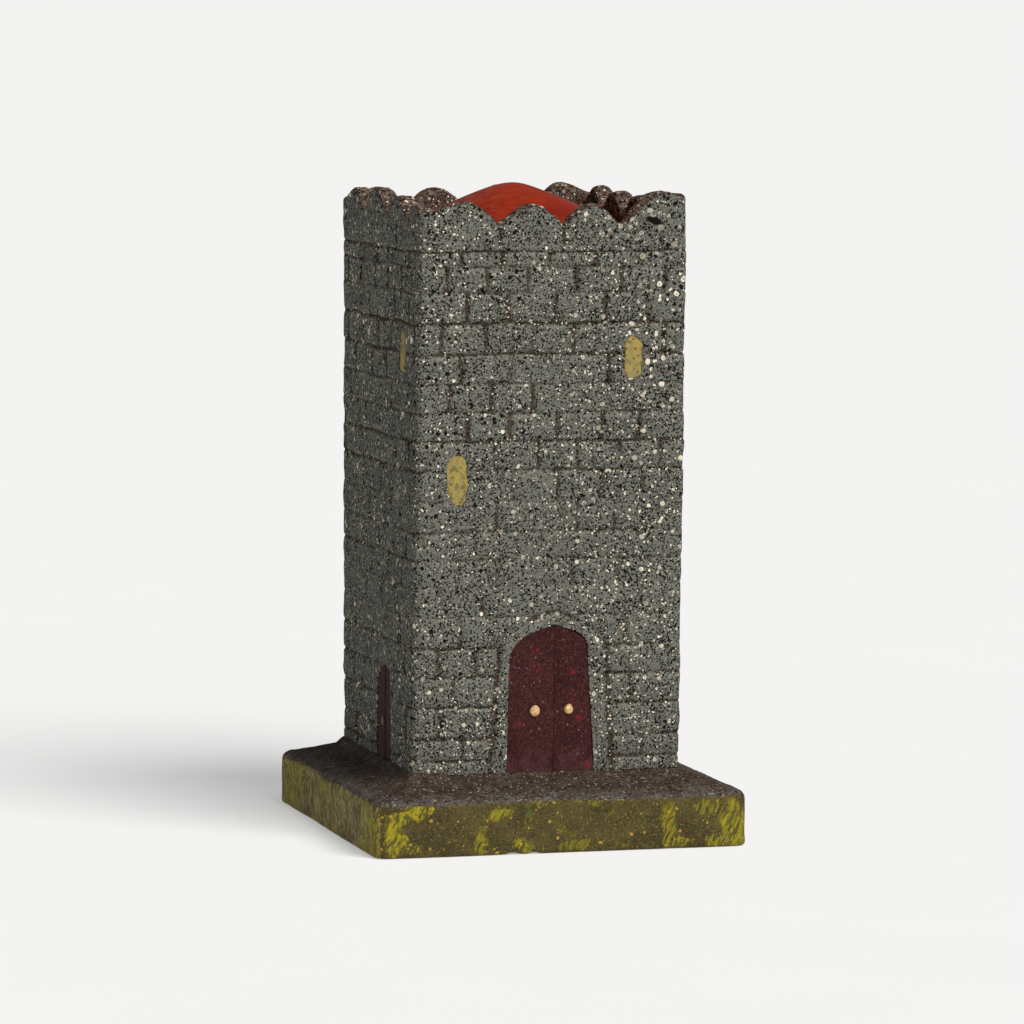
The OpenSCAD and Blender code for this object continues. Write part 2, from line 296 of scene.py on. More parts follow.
def corner_wear(ring, points):
    """Extra wear along the upright corners, which scallops them from course to course."""
    return corner_share(ring) * (0.06 + 0.13 * Waves(24, 3.2)(points))


def wall_rows(ring, heights):
    """The outer walls' points row by row from the foot up, and where the joints and the lit
    upper edges of the bricks are."""
    relief = cad_relief(ring, heights)
    opening = (relief > 2 * GROOVE).astype(float)
    joint = np.clip(relief / GROOVE, 0, 1) * (1 - opening)
    base = np.zeros((len(heights), len(ring), 3))
    base[..., 0], base[..., 1] = ring[:, 0], ring[:, 1]
    base[..., 2] = heights[:, None]
    normal = np.zeros_like(base)
    normal[..., 0], normal[..., 1] = ring[:, 2], ring[:, 3]
    strength = relief_strength(base)
    soft = blur(joint, 0.7)
    filled = 1 - 0.6 * corner_share(ring)                       # joints are fainter at the corners
    bulge = 1 - blur(np.maximum(joint, opening), 2.2) * 1.8     # 1 in the middle of a brick
    eased = 0.1 * blur(opening, 1.6)                            # the wall sinks at its openings
    depth = (JOINT_DEPTH * soft * strength * filled - BRICK_BULGE * bulge * strength
             + eased + cast_lumps(base) + corner_wear(ring, base))
    tangent = np.stack([-normal[..., 1], normal[..., 0], normal[..., 2]], -1)
    settle = smoothstep(FOOT + 0.5, FOOT + 3, base[..., 2])
    slide = (0.14 * Waves(31, 6)(base) + 0.06 * Waves(32, 2.2)(base)) * settle
    rise = (0.13 * Waves(33, 11)(base) + 0.06 * Waves(34, 2.6)(base)) * settle
    points = base - normal * depth[..., None] + tangent * slide[..., None]
    points[..., 2] += rise
    # The upper edge of each course just below a bed joint, which the paint lightens as a painted
    # highlight.
    below = np.maximum(np.roll(joint, -2, axis=0), np.roll(joint, -3, axis=0))
    lit_edge = np.clip(below - joint, 0, 1) * (1 - opening)
    stain = blur(joint, 1.0) * 1.6
    return points, np.clip(stain * strength, 0, 1), lit_edge * np.clip(strength, 0, 1)


class Skin:
    """Rings of points stacked up into one surface, with the masks that its paint reads."""

    def __init__(self, columns):
        self.columns = columns
        self.rows, self.masks = [], {"joint": [], "rim": [], "lit_edge": []}

    def add(self, points, **masks):
        """One more ring of points, with its masks; those not given are 0."""
        self.rows.append(points)
        for name, values in self.masks.items():
            values.append(np.broadcast_to(masks.get(name, 0.0), self.columns))

    def build(self, name):
        obj = closed_stack(name, self.rows)
        for mask, values in self.masks.items():
            set_attribute(obj, mask, np.concatenate(values))
        return obj


def parapet_outside(skin, ring, crest):
    """Rows from the wall's top up to where the crest begins to round over."""
    edge, shoulder = skin.rows[-1], crest - RIM_DROP
    groove_top, samples, rows = DECK_TOP + 1.2, 12, 16
    relief = cad_relief(ring, np.linspace(WALL_TOP, groove_top, samples))
    for t in np.linspace(0, 1, rows + 1)[1:]:
        z = edge[:, 2] + t * (shoulder - edge[:, 2])
        sample = (z - WALL_TOP) / (groove_top - WALL_TOP) * (samples - 1)
        sample = np.clip(np.floor(sample).astype(int), 0, samples - 1)
        groove = np.clip(relief[sample, np.arange(len(ring))] / GROOVE, 0, 1)
        groove = blur((groove * (z < groove_top))[None, :], 0.45)[0]
        here = lifted(ring[:, :2], z)
        push = 0.28 * groove - 0.04 + cast_lumps(here) + corner_wear(ring, here)
        here[:, :2] -= ring[:, 2:4] * push[:, None]
        skin.add(here, joint=groove)


def parapet_crown(skin, ring, crest):
    """Rows over the crest's rounded edge, across the wall's thickness, and down inside."""
    outer, inner, shoulder = skin.rows[-1][:, :2], inner_plan(ring), crest - RIM_DROP
    crown = [(0.03, 0.38), (0.09, 0.68), (0.18, 0.9), (0.3, 0.99), (0.45, 1.0),
             (0.6, 0.99), (0.75, 0.9), (0.88, 0.68), (0.97, 0.35), (1.0, 0.0)]
    for share, lift in crown:
        here = lifted(outer + (inner - outer) * share, shoulder + RIM_DROP * lift)
        here[:, 2] += 0.05 * Waves(42, 1.1)(here)
        skin.add(here, rim=smoothstep(0.0, 0.12, share))
    floor_z = DECK_TOP - 0.6
    for t in np.linspace(0, 1, 9)[1:]:
        here = lifted(inner, shoulder + t * (floor_z - shoulder))
        inward = -here[:, :2] / np.linalg.norm(here[:, :2], axis=1)[:, None]
        here[:, :2] += inward * (0.12 * Waves(43, 2.2)(here) * math.sin(math.pi * t))[:, None]
        skin.add(here, rim=1.0)


def tower_mesh():
    """The tower's skin: walls, parapet crest and the parapet's inner face, as one closed piece."""
    ring = rounded_ring(HALF, HALF, CORNER_R, TOWER_PITCHES)
    heights = row_heights(ring, FOOT - 0.2, WALL_TOP)
    crest = blur(cad_crest(ring)[None, :], 1.2)[0]
    crest = crest + 0.12 * Waves(41, 2.4)(lifted(ring[:, :2], crest))
    skin = Skin(len(ring))
    for points, joint, lit_edge in zip(*wall_rows(ring, heights)):
        skin.add(points, joint=joint, lit_edge=lit_edge)
    parapet_outside(skin, ring, crest)
    parapet_crown(skin, ring, crest)
    return skin.build("tower_skin")


# ---------- outlines of the doors and windows ----------

# The doors' arches, as shares of half their width: how far each jamb leans out at the foot, the
# radius of the shoulders, and the height of the crown above the springing.
ARCH_SPLAY, ARCH_SHOULDER, ARCH_RISE = 0.115, 0.68, 0.83


def arch_half_width(half, spring, z):
    """Half of a low pointed arch's width at a height above its foot."""
    up = np.asarray(z, float) - spring
    shoulder_r, rise = ARCH_SHOULDER * half, ARCH_RISE * half
    shoulder_x = half - shoulder_r
    to_shoulder = math.hypot(shoulder_x, rise)
    fall = math.atan2(rise, shoulder_x) - math.asin(shoulder_r / to_shoulder)
    touch = rise - math.sqrt(to_shoulder ** 2 - shoulder_r ** 2) * math.sin(fall)
    jamb = half * (1 - ARCH_SPLAY * up / spring)
    shoulder = shoulder_x + np.sqrt(np.maximum(shoulder_r ** 2 - up ** 2, 0))
    flank = np.maximum(rise - up, 0) / math.tan(fall)
    return np.where(up <= 0, jamb, np.where(up < touch, shoulder, flank))


def on_wall(face, along, z, out):
    """A point on one of the tower's faces: distance along, height, and distance outwards."""
    nx, ny = FACE_NORMALS[face]
    along, z, out = np.broadcast_arrays(*[np.asarray(v, float) for v in (along, z, out)])
    reach = HALF + out
    return np.stack([-ny * along + nx * reach, nx * along + ny * reach, z], -1)


def along_range(face, *nodes):
    """Lowest and highest distance along a face, and heights, that some CAD nodes span."""
    boxes = [box_mm(n) for n in nodes]
    low = np.min([b[0] for b in boxes], axis=0)
    high = np.max([b[1] for b in boxes], axis=0)
    ax, ay = -FACE_NORMALS[face][1], FACE_NORMALS[face][0]
    ends = sorted([low[0] * ax + low[1] * ay, high[0] * ax + high[1] * ay])
    return ends[0], ends[1], low[2], high[2]


LEAF_SETBACK = 0.2   # of the door leaves' faces behind the wall's face, as in the CAD


class Door:
    """One doorway: its place, size and the hand-cut outline that its recess and leaves share."""

    depth, gap = 1.0, 0.05   # how deep its opening is cut, and how much wider than the leaves

    def __init__(self, name, face):
        self.name, self.face = name, face
        a0, a1, self.foot, top = along_range(face, name + "_left_leaf", name + "_right_leaf")
        self.centre = (a0 + a1) / 2
        self.half = (a1 - a0) / 2 / (1 + ARCH_SPLAY)
        self.top = top - self.foot
        self.spring = self.top - ARCH_RISE * self.half
        self.meeting = self.stray(self.top)

    def stray(self, z):
        """How far the doorway strays sideways from its centre line at a height above its foot."""
        at_foot, at_spring, at_crown = -0.015, -0.085, 0.065
        share = (at_foot + (at_spring - at_foot) * smoothstep(0, self.spring, z)
                 + (at_crown - at_spring) * smoothstep(self.spring, self.top, z))
        return share * self.half

    def outline(self, grow):
        """Points round the recess: up the right jamb, over the arch, down the left jamb."""
        half, crown = self.half + grow, self.top + ARCH_RISE * grow
        heights = np.concatenate([np.linspace(-1, self.spring, 8),
                                  np.linspace(self.spring, crown, 24)[1:]])
        width, middle = arch_half_width(half, self.spring, heights), self.stray(heights)
        right = list(zip(self.centre + middle + width, self.foot + heights))
        left = list(zip(self.centre + middle - width, self.foot + heights))
        return right + left[-2::-1]


# The windows: the face each is on, and how it departs from a plain slit: lean, width at the sill
# and at the head as shares of its full width, and how far its head slopes down to the right.
WINDOWS = {"front_upper_window": (FRONT, 0.1, 1.0, 0.95, 0.4),
           "front_lower_window": (FRONT, -0.45, 0.62, 0.66, -0.2),
           "side_window": (LEFT, 0.7, 0.9, 0.9, 0.3),
           "back_window": (BACK, 0.2, 0.9, 0.85, 0.2),
           "right_window": (RIGHT, -0.2, 1.0, 0.8, 0.4)}


class Window:
    """One slit window: its place, and its hand-cut outline."""

    depth, gap = 0.9, 0.03

    def __init__(self, name):
        self.name = name
        self.face, self.lean, self.sill, self.head, self.slope = WINDOWS[name]
        a0, a1, z0, z1 = along_range(self.face, name)
        self.centre, self.middle = (a0 + a1) / 2, (z0 + z1) / 2
        self.half, self.tall = (a1 - a0) / 2, (z1 - z0) / 2
        self.wobble = Waves(len(name) * 7 + self.face, 2.5)

    def edges(self, t, grow=0.0):
        """Left and right edge at a height share t from -1, the sill, to 1, the head."""
        t = np.asarray(t, float)
        round_head = np.sqrt(np.maximum(1 - np.clip((t - 0.55) / 0.45, 0, 1) ** 2.5, 0.12))
        round_sill = np.sqrt(np.maximum(1 - np.clip((-t - 0.7) / 0.3, 0, 1) ** 2.5, 0.3))
        taper = np.where(t > 0, 1 + (self.head - 1) * t ** 2, 1 + (self.sill - 1) * t ** 2)
        half = self.half * round_head * round_sill * taper + grow
        z = self.middle + self.tall * t
        jogs = [0.13 * self.wobble(np.stack([t * 5, t * 0 + side, t * 0], -1)) for side in (0, 9)]
        middle = self.centre + self.lean * 0.5 * t
        shoulder = self.slope * self.half * smoothstep(0.5, 1.0, t)
        return middle - half + jogs[0], middle + half - shoulder + jogs[1], z

    def outline(self, grow):
        """Points round the pocket: up the right edge, then down the left."""
        t = np.linspace(-1, 1, 26)
        left, right, z = self.edges(t, grow)
        z = z + grow * np.where(np.abs(t) > 0.99, np.sign(t), 0)
        return list(zip(right, z)) + list(zip(left[::-1], z[::-1]))


def cutter(things):
    """Prisms that stand on the walls and reach each thing's depth inwards."""
    points, faces = [], []
    for thing in things:
        outline = thing.outline(thing.gap)
        count, first = len(outline), len(points)
        for out in (-thing.depth, 1.5):
            points += [on_wall(thing.face, a, z, out) for a, z in outline]
        faces += [[first + i, first + (i + 1) % count, first + count + (i + 1) % count,
                   first + count + i] for i in range(count)]
        faces.append([first + i for i in range(count)][::-1])
        faces.append([first + count + i for i in range(count)])
    return fix_normals(piece_from("cutter", points, faces, smooth=False))


def cut(obj, tool):
    """Subtracts the tool from obj and keeps the result as obj's own mesh."""
    modifier = obj.modifiers.new("openings", "BOOLEAN")
    modifier.operation = "DIFFERENCE"
    modifier.solver = "EXACT"
    modifier.object = tool
    graph = bpy.context.evaluated_depsgraph_get()
    mesh = bpy.data.meshes.new_from_object(obj.evaluated_get(graph))
    obj.modifiers.clear()
    old, obj.data = obj.data, mesh
    bpy.data.meshes.remove(old)
    bpy.data.objects.remove(tool)
    obj.data.set_sharp_from_angle(angle=math.radians(55))


# ---------- doors, knobs and windows ----------


def panel(name, face, edge_rows, front_out, back_out, falls):
    """A closed panel between left and right edges given row by row. falls is how far its face
    drops back at its left edge, its right edge, and its two ends."""
    shares = np.array([0, 0.02, 0.06, 0.12, 0.2, 0.3, 0.4, 0.5, 0.6, 0.7, 0.8, 0.88, 0.94,
                       0.98, 1.0])
    fall_left, fall_right, fall_end = falls
    across = (fall_left * (1 - np.minimum(1, shares / 0.2)) ** 2
              + fall_right * (1 - np.minimum(1, (1 - shares) / 0.2)) ** 2)
    rows, count = len(edge_rows), len(shares)
    points = []
    for i, (left, right, z) in enumerate(edge_rows):
        end = min(i, rows - 1 - i)
        drop = fall_end * max(0, 1 - end / 3) ** 2
        a = left + (right - left) * shares
        where = on_wall(face, a, z, 0)
        dents = 0.05 * Waves(51, 3.5)(where) + 0.02 * Waves(52, 1.1)(where)
        points += list(on_wall(face, a, z, front_out + dents - np.maximum(across, drop)))
    back = [list(on_wall(face, [left, right], z, back_out)) for left, right, z in edge_rows]
    first_back = len(points)
    points += [p for pair in back for p in pair]
    faces = loop_faces(rows, count, closed=False)
    for i in range(rows - 1):
        b = first_back + 2 * i
        faces.append([b + 1, b, b + 2, b + 3])
        faces.append([b, i * count, (i + 1) * count, b + 2])
        faces.append([i * count + count - 1, b + 1, b + 3, (i + 1) * count + count - 1])
    faces.append([first_back, first_back + 1] + [count - 1 - j for j in range(count)])
    last = (rows - 1) * count
    faces.append([first_back + 2 * rows - 1, first_back + 2 * rows - 2]
                 + [last + j for j in range(count)])
    obj = fix_normals(piece_from(name, points, faces))
    obj.data.set_sharp_from_angle(angle=math.radians(50))
    return obj


def door_leaf(door, hand, side_name):
    """One leaf: from the meeting line out to the jamb, under its half of the arch."""
    meeting_gap, jamb_gap, narrowest = 0.03, 0.01, 0.05
    upright = np.linspace(0, door.spring, 30)
    arched = door.spring + (door.top - door.spring) * np.sin(np.linspace(0, 1.5, 16)[1:])
    rows = []
    for z in np.concatenate([upright, arched]):
        start = door.meeting + hand * meeting_gap
        width = arch_half_width(door.half, door.spring, z) - jamb_gap
        reach = max(hand * (door.stray(z) + hand * width - start), narrowest)
        ends = [door.centre + start, door.centre + start + hand * reach]
        rows.append((*sorted(ends), door.foot + z))
    at_meeting, at_jamb, at_end = 0.13, 0.08, 0.08
    falls = (at_jamb, at_meeting, at_end) if hand < 0 else (at_meeting, at_jamb, at_end)
    back = -door.depth - 0.1   # a little into the wall behind the recess
    return panel(f"{door.name}_{side_name}_leaf_panel", door.face, rows, -LEAF_SETBACK, back,
                 falls)


def window_pane(window):
    """A pane that fills its slit, with soft edges all round."""
    clearance, setback, back = 0.01, 0.05, -window.depth - 0.05
    left, right, z = window.edges(np.linspace(-1, 1, 30), -clearance)
    return panel(window.name + "_pane", window.face, list(zip(left, right, z)), -setback, back,
                 (0.07, 0.09, 0.07))


# The knobs: the face each is on, and its width, height and thickness as shares of a round one's.
KNOBS = {"front_door_left_knob": (FRONT, 0.95, 1.12, 1.0),
         "front_door_right_knob": (FRONT, 0.9, 1.05, 1.0),
         "side_door_knob": (LEFT, 0.9, 1.3, 0.4)}


def door_knob(node):
    """A small uneven blob of thick paint on a shank, turned about its own axis."""
    face, wide, tall, thick = KNOBS[node]
    a0, a1, z0, z1 = along_range(face, node)
    centre_a, centre_z, radius = (a0 + a1) / 2, (z0 + z1) / 2, (a1 - a0) / 2
    shank_r = 0.3
    profile = [(shank_r, -0.8), (shank_r, 0.0), (0.93 * radius, 0.0), (radius, 0.1),
               (0.97 * radius, 0.22), (0.86 * radius, 0.34), (0.66 * radius, 0.43),
               (0.4 * radius, 0.48), (0.14 * radius, 0.5)]
    swell = Waves(len(node) + 61, 1.3)
    rows = []
    for r, out in profile:
        across, up = circle(r, 32).T
        lumps = 0.14 * swell(lifted(np.stack([across + centre_a, up], -1), 0.4 * out))
        grow = 1 + lumps * (r > shank_r)
        rows.append(on_wall(face, centre_a + across * grow * wide, centre_z + up * grow * tall,
                            out * thick - LEAF_SETBACK))
    return fix_normals(closed_stack(node + "_bead", rows))


# ---------- roof ----------


def dome_mesh():
    """A low mound: straight flanks that round over at the crest, painted thickly."""
    high = box_mm("roof_dome")[1]
    radius, top = high[0], high[2]
    crest_r, slope, turns = 1.8, 0.47, 128
    rim_z = DECK_TOP + 0.5

    def flank(r):
        return math.sqrt(crest_r ** 2 + (slope * r) ** 2)

    rows = [lifted(circle(radius, turns), DECK_TOP - 0.05)]
    for share in np.concatenate([[0.03], np.linspace(0.08, 1, 34)])[::-1]:
        fall = (flank(radius * share) - flank(0)) / (flank(radius) - flank(0))
        here = lifted(circle(radius * share, turns), top - (top - rim_z) * fall)
        here[:, 2] += (0.08 * Waves(71, 9)(here) + 0.025 * Waves(72, 3)(here)) * (1 - share ** 6)
        here[:, 2] -= 0.1 * (1 - share)
        rows.append(here)
    return fix_normals(closed_stack("roof_dome_shell", rows))


def deck_mesh():
    """The roof's deck: a square plate with softened edges and a slightly uneven top."""
    low, high = box_mm("roof_deck")
    half, bottom, top = high[0], low[2], high[2]
    outer = rounded_ring(half, half, 0.4, (1.0,) * 4)[:, :2]
    rows = [lifted(outer, bottom), lifted(outer, top - 0.25)]
    edge = [(0.99, top - 0.06), (0.97, top)]
    for share, z in edge + [(share, top) for share in np.linspace(0.92, 0.05, 16)]:
        here = lifted(outer * share, z)
        here[:, 2] -= 0.08 * (1 + Waves(81, 2.5)(here)) * 0.5
        rows.append(here)
    return fix_normals(closed_stack("roof_deck_plate", rows))


# ---------- plinth ----------

PLINTH_SIDE_H = 8.1     # height of its upright sides, as in the CAD
PLINTH_CORNER_R = 1.7   # its corners are worn a little rounder than the CAD's


def plinth_profile():
    """The plinth's outline from the middle of its underside out, up and over: the distance in
    from its side, and the height."""
    edge_r, under_r, slope = 1.2, 0.5, 0.12
    profile = [(18.0, 0.0), (12.0, 0.0), (6.0, 0.0), (2.0, 0.0), (under_r, 0.0)]
    for turn in np.linspace(0, math.pi / 2, 5)[1:]:
        profile.append((under_r * (1 - math.sin(turn)), under_r * (1 - math.cos(turn))))
    for z in np.linspace(under_r, PLINTH_SIDE_H - edge_r, 15)[1:]:
        profile.append((0.0, z))
    for turn in np.linspace(0, math.pi / 2 - slope, 7)[1:]:
        profile.append((edge_r * (1 - math.cos(turn)),
                        PLINTH_SIDE_H - edge_r * (1 - math.sin(turn))))
    return profile


def chip(points, x, width):
    """How far a nick in the front's lower edge lifts the points near it."""
    reach_in, reach_up, lift = 1.5, 1.0, 0.3
    near_edge = (points[..., 1] < -PLINTH_HIGH[1] + reach_in) * (points[..., 2] < reach_up)
    return lift * near_edge * np.exp(-((points[..., 0] - x) / width) ** 2)


def plinth_mesh():
    """The plinth: flat sides, a top that slopes up to the tower's foot, and a soft fillet."""
    half_x, half_y, _top = PLINTH_HIGH
    ring = rounded_ring(half_x, half_y, PLINTH_CORNER_R, (0.6,) * 4)[:, :2]
    rows = []
    for inset, z in plinth_profile():
        plan = ring * [(half_x - inset) / half_x, (half_y - inset) / half_y]
        rows.append(lifted(plan, z))
    edge, foot = rows[-1], ring * [HALF / half_x, HALF / half_y]
    fillet = np.where((ring[:, 0] < -HALF) | (ring[:, 1] > HALF), 0.9, 0.3)
    for t in np.linspace(0, 1, 20)[1:]:
        plan = edge[:, :2] + (foot - edge[:, :2]) * t
        z = edge[:, 2] + (FOOT - edge[:, 2]) * t + fillet * smoothstep(0.8, 1.0, t)
        rows.append(lifted(plan, z))
    rows.append(rows[-1] * [0.95, 0.95, 1.0])
    points = np.array(rows)
    top = smoothstep(6.6, 8.0, points[..., 2])
    wobble = (0.13 * Waves(91, 14)(points) + 0.05 * Waves(92, 3)(points)
              + 0.025 * Waves(93, 1.2)(points))
    reach = np.linalg.norm(points[..., :2], axis=-1)
    points[..., :2] *= (1 - (0.04 + wobble * (1 - top)) / reach)[..., None]
    points[..., 2] += wobble * top * 0.8 + chip(points, -7.4, 0.9) + chip(points, -4.2, 0.6)
    return fix_normals(closed_stack("plinth_block", points))


# ---------- materials ----------


def srgb(r, g, b):
    """A colour given as 0-255 display values, as linear light."""
    def linear(c):
        c /= 255
        return c / 12.92 if c <= 0.04045 else ((c + 0.055) / 1.055) ** 2.4
    return (linear(r), linear(g), linear(b), 1.0)


class Paint:
    """A node tree built up from small steps. Every length is in millimetres."""

    def __init__(self, name):
        self.material = bpy.data.materials.new(name)
        self.material.use_nodes = True
        self.tree = self.material.node_tree
        self.shader = self.tree.nodes["Principled BSDF"]
        coords = self.tree.nodes.new("ShaderNodeTexCoord")
        self.place = coords.outputs["Object"]

    def node(self, kind, inputs=None, **settings):
        """A new node with its settings and inputs, which are values or other nodes' outputs."""
        node = self.tree.nodes.new(kind)
        for key, value in settings.items():
            setattr(node, key, value)
        for key, value in (inputs or {}).items():
            self.feed(node.inputs[key], value)
        return node

    def feed(self, socket, value):
        if isinstance(value, bpy.types.NodeSocket):
            self.tree.links.new(value, socket)
        else:
            socket.default_value = value

    def math(self, operation, a, b=0.0):
        return self.node("ShaderNodeMath", {0: a, 1: b}, operation=operation).outputs[0]

    def plus(self, a, b):
        return self.math("ADD", a, b)

    def times(self, a, b):
        return self.math("MULTIPLY", a, b)

    def without(self, mask):
        """1 where the mask is 0, and the other way round."""
        return self.math("SUBTRACT", 1.0, mask)

    def most(self, *masks):
        """Where any of the masks is set."""
        result = masks[0]
        for mask in masks[1:]:
            result = self.math("MAXIMUM", result, mask)
        return result

    def axes(self, vector=None):
        """The x, y and z of a vector, or of the place."""
        return self.node("ShaderNodeSeparateXYZ", {"Vector": vector or self.place}).outputs

    def ramp(self, value, low, high, to_low=0.0, to_high=1.0):
        """A value's low..high drawn out to to_low..to_high, smoothly and clamped."""
        node = self.node("ShaderNodeMapRange", {"Value": value, "From Min": low, "From Max": high,
                                                "To Min": to_low, "To Max": to_high},
                         interpolation_type="SMOOTHSTEP")
        return node.outputs["Result"]

    def mix(self, factor, a, b):
        """Colour a where the factor is 0 and colour b where it is 1."""
        # 0, 6 and 7 are the factor and the two colours; outputs[2] is the colour that results
        return self.node("ShaderNodeMix", {0: factor, 6: a, 7: b}, data_type="RGBA").outputs[2]

    def attribute(self, name):
        return self.node("ShaderNodeAttribute", attribute_name=name).outputs["Fac"]

    def moved(self, place, offset):
        """A place, or the object's own, moved as far along each axis so that patterns differ."""
        place = place or self.place
        if not offset:
            return place
        return self.node("ShaderNodeVectorMath", {0: place, 1: (offset, offset, offset)},
                         operation="ADD").outputs[0]

    def noise(self, size_mm, detail=2.0, rough=0.5, place=None, offset=0.0, distort=0.0):
        node = self.node("ShaderNodeTexNoise",
                         {"Vector": self.moved(place, offset), "Scale": 1 / (size_mm * MM),
                          "Detail": detail, "Roughness": rough, "Distortion": distort})
        return node.outputs["Fac"]

    def stretched(self, x=1.0, y=1.0, z=1.0):
        """The place scaled on each axis, which stretches patterns where the factor is small."""
        return self.node("ShaderNodeMapping", {"Vector": self.place, "Scale": (x, y, z)}
                         ).outputs[0]

    def bent(self, amount_mm, size_mm, place=None):
        """The place pushed about by noise, which makes round spots ragged."""
        node = self.node("ShaderNodeTexNoise", {"Vector": place or self.place,
                                                "Scale": 1 / (size_mm * MM), "Detail": 2.0})
        centred = self.node("ShaderNodeVectorMath", {0: node.outputs["Color"], 1: (.5, .5, .5)},
                            operation="SUBTRACT").outputs[0]
        push = self.node("ShaderNodeVectorMath", {0: centred}, operation="SCALE")
        push.inputs["Scale"].default_value = 2 * amount_mm * MM
        return self.node("ShaderNodeVectorMath", {0: place or self.place, 1: push.outputs[0]},
                         operation="ADD").outputs[0]

    def cells(self, cell_mm, place=None, offset=0.0):
        """Distance to the middle of the nearest cell, and three random numbers of that cell."""
        node = self.node("ShaderNodeTexVoronoi",
                         {"Vector": self.moved(place, offset), "Scale": 1 / (cell_mm * MM),
                          "Randomness": 1.0}, feature="F1")
        split = self.node("ShaderNodeSeparateColor", {"Color": node.outputs["Color"]})
        return node.outputs["Distance"], split.outputs[0], split.outputs[1], split.outputs[2]

    def spots(self, cell_mm, smallest, largest, presence, place=None, offset=0.0, edge=0.25,
              ring=0.0):
        """Round spots, one or none to a cell. Radii are shares of a cell, presence is the share
        of cells that have one, and ring is how much of a large spot's middle is left open."""
        distance, pick, size, kind = self.cells(cell_mm, place, offset)
        size = self.math("POWER", size, 2.2)   # small spots are the commonest
        radius = self.plus(self.times(size, largest - smallest), smallest)
        share = self.math("DIVIDE", distance, radius)
        mask = self.ramp(share, 1.0 + edge / 2, 1.0 - edge)
        mask = self.times(mask, self.math("LESS_THAN", pick, presence))
        if ring:
            hollow = self.ramp(share, ring, ring * 0.55)
            hollow = self.times(hollow, self.math("GREATER_THAN", kind, 0.55))
            mask = self.times(mask, self.without(hollow))
        return mask

    def patch(self, centre_mm, radii_mm, lean=0.0, soft=0.3, place=None):
        """A blot at a chosen place: an ellipsoid, which lean turns in the plane of the front.
        A place that noise has bent makes its edge ragged."""
        node = self.node("ShaderNodeMapping",
                         {"Vector": place or self.place, "Location": Vector(centre_mm) * MM,
                          "Rotation": (0, math.radians(lean), 0),
                          "Scale": Vector(radii_mm) * MM}, vector_type="TEXTURE")
        reach = self.node("ShaderNodeVectorMath", {0: node.outputs[0]}, operation="LENGTH")
        return self.ramp(reach.outputs["Value"], 1 + soft, 1 - soft)

    def on_left_face(self):
        """1 on the pieces that lie in the tower's left face."""
        return self.ramp(self.axes()[0], (2 - HALF) * MM, (1 - HALF) * MM)

    def finish(self, colour, roughness=0.7, bump=None, bump_mm=0.02, specular=0.3):
        self.feed(self.shader.inputs["Base Color"], colour)
        self.feed(self.shader.inputs["Roughness"], roughness)
        self.shader.inputs["Specular IOR Level"].default_value = specular
        if bump is not None:
            node = self.node("ShaderNodeBump", {"Height": bump, "Strength": 1.0,
                                                "Distance": bump_mm * MM})
            self.feed(self.shader.inputs["Normal"], node.outputs["Normal"])
        return self.material


def black_specks(p, ragged):
    """Fine dust of black, with larger flecks strewn over it."""
    crowd = p.ramp(p.noise(5, 2, offset=0.7), 0.3, 0.7, -0.03, 0.03)
    smear = p.ramp(p.plus(p.noise(0.32, 1.0, 0.6, offset=0.1), crowd), 0.585, 0.61)
    dust = p.spots(0.37, 0.27, 0.46, 0.95, place=p.bent(0.1, 0.25), offset=0.071, edge=0.2)
    middle = p.spots(0.95, 0.13, 0.36, 0.95, place=ragged, offset=0.011, edge=0.2)
    large = p.spots(2.0, 0.08, 0.26, 0.95, place=p.bent(0.45, 1.2), offset=0.023, edge=0.1)
    return p.most(dust, smear, middle, large)


def cream_specks(p, ragged):
    """Spatter of cream paint: dust, drops, and a few wide drops with an open middle."""
    crowd = p.ramp(p.noise(8, 2, offset=3.3), 0.4, 0.62, 0.3, 1.0)
    dust = p.spots(0.58, 0.17, 0.28, 0.9, place=ragged, offset=0.031, edge=0.16)
    drops = p.spots(1.05, 0.12, 0.27, 0.9, place=ragged, offset=0.047, edge=0.12)
    wide = p.spots(2.2, 0.08, 0.24, 0.9, place=p.bent(0.2, 0.5), offset=0.059, edge=0.05,
                   ring=0.4)
    few = p.math("LESS_THAN", p.noise(1.4, 1, offset=1.7), 0.51)
    return p.most(p.times(dust, few), p.times(p.most(drops, wide), crowd))


def stone_ground(p):
    """The grey under the specks: clouded, grained, with a thin brown haze."""
    cloud = p.ramp(p.noise(9, 3, 0.6), 0.3, 0.7)
    grain = p.ramp(p.noise(0.26, 2, 0.7, offset=0.3), 0.38, 0.62)
    grey = p.mix(cloud, srgb(88, 89, 83), srgb(97, 98, 91))
    grey = p.mix(grain, grey, srgb(116, 116, 107))
    haze = p.ramp(p.noise(3.0, 4, 0.65, offset=0.7), 0.5, 0.8, 0.0, 0.5)
    return p.mix(haze, grey, srgb(78, 68, 54))


def joint_wash(p, stone):
    """Brown wash that has settled in the joints, and a painted highlight on the lit brick edges
    below them.
    """
    broken = p.ramp(p.noise(0.8, 3, offset=0.5), 0.3, 0.7, -0.35, 0.15)
    brown = p.ramp(p.plus(p.attribute("joint"), broken), 0.2, 0.95, 0.0, 0.85)
    stone = p.mix(brown, stone, srgb(60, 48, 36))
    # Painted highlight: the upper edge of each course, where light catches it, is lightened to
    # pale grey.
    painted_highlight = p.times(p.attribute("lit_edge"), p.ramp(p.noise(1.0, 3, offset=0.8), 0.35, 0.65))
    return p.mix(p.times(painted_highlight, 0.5), stone, srgb(140, 138, 126))


